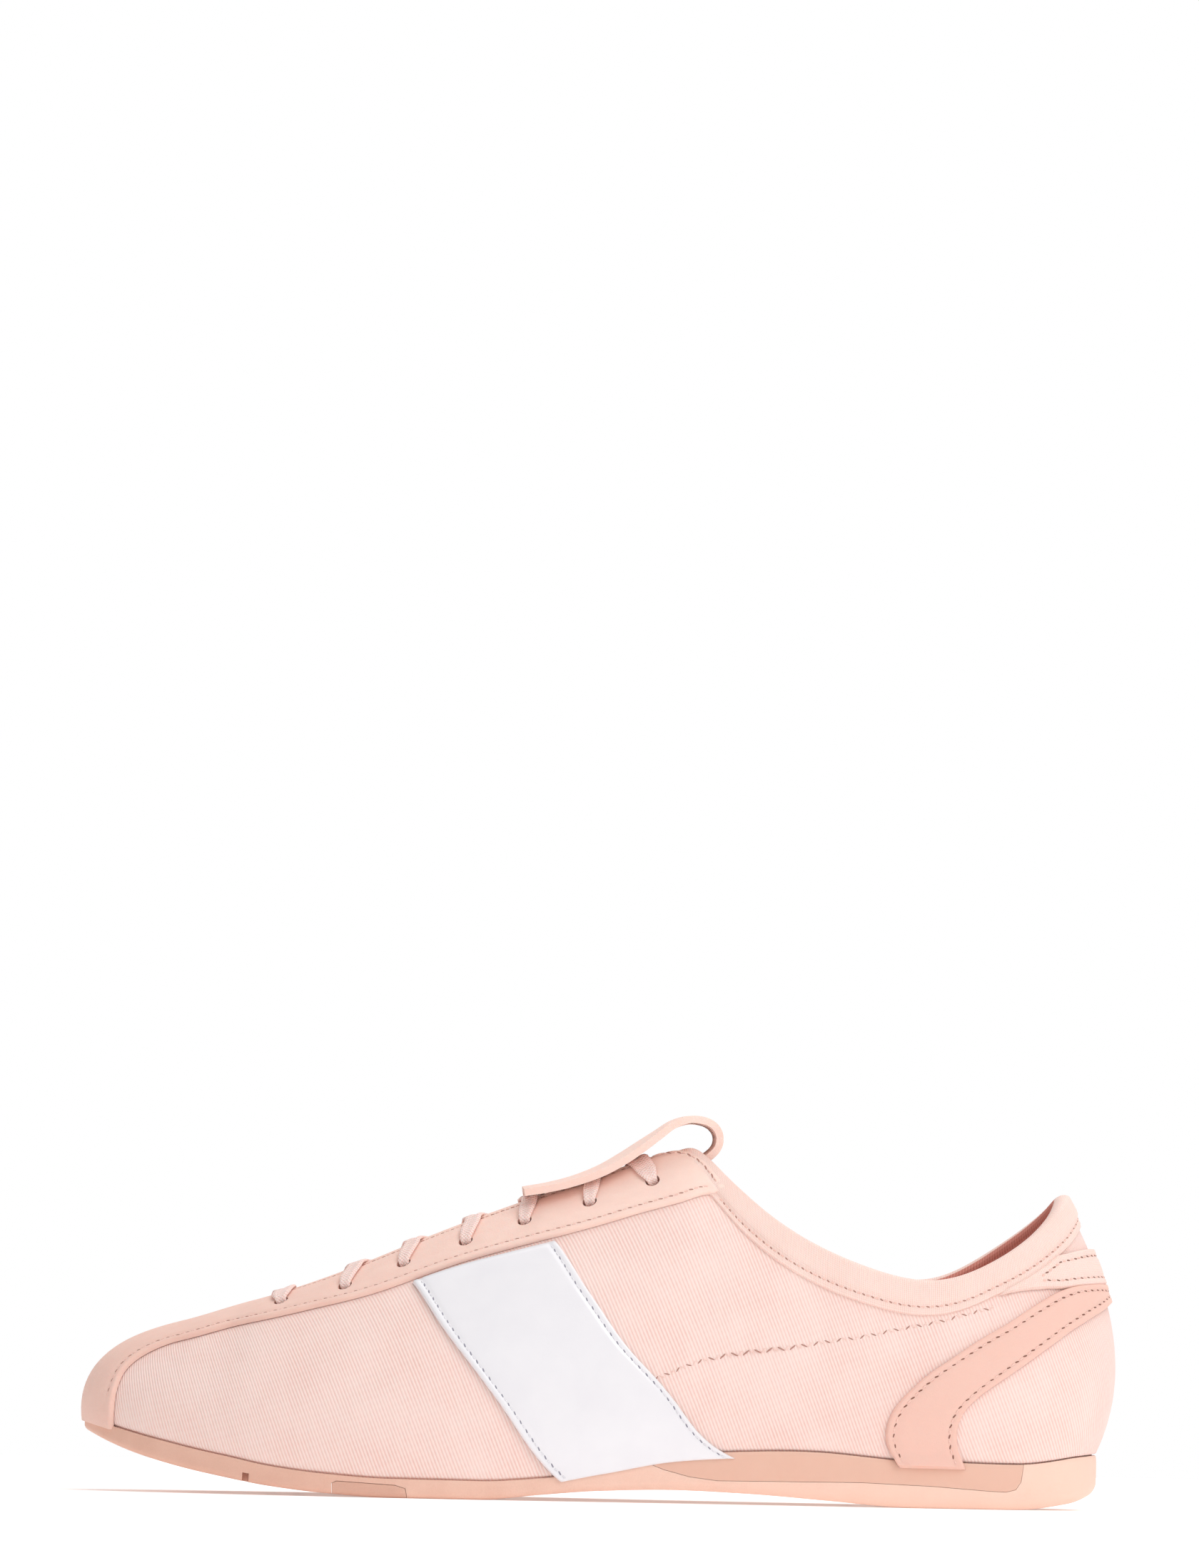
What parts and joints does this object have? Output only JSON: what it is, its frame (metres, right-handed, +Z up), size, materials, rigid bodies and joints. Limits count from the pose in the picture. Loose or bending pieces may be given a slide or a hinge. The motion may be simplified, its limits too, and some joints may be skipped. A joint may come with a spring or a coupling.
{
  "type": "low top sneaker",
  "caption": "Slim left low top sneaker with a ribbed fabric upper, suede toe strip and heel strap, saddle panels, folded tongue and thin rubber sole.",
  "frame": {"origin": "middle of the shoe's outline seen from above, on the floor that the sole stands on", "axes": "-X towards the toe, +X towards the heel, -Y towards the outer side of the foot, +Z up"},
  "size_m": [0.2646, 0.0875, 0.0998],
  "materials": {
    "outsole": "fine grained rubber, satin",
    "tread_block": "moulded rubber, satin",
    "midsole_wedge": "smooth moulded foam, satin",
    "insole": "brushed fabric, matt",
    "upper": "ribbed stretch fabric, matt",
    "eyestay": "suede, matt",
    "heel_strap": "suede, matt",
    "heel_tab": "smooth fabric, matt",
    "collar_binding": "smooth stretch fabric, matt",
    "tongue": "suede, matt",
    "side_panel": "coated leather, glossy",
    "lace": "flat woven cotton, matt"
  },
  "bodies": {
    "root": {"outsole": "outsole", "tread_block": "tread_block", "midsole_wedge": "midsole_wedge", "insole": "insole", "upper": "upper", "eyestay": "eyestay", "side_panel_outer": "side_panel", "side_panel_inner": "side_panel", "heel_strap": "heel_strap", "heel_tab": "heel_tab", "collar_binding": "collar_binding", "tongue": "tongue", "lace_bar_front": "lace", "lace_crossing_1": "lace", "lace_crossing_2": "lace", "lace_crossing_3": "lace", "lace_crossing_4": "lace", "lace_crossing_5": "lace", "lace_bar_top": "lace"}
  },
  "joints": []
}
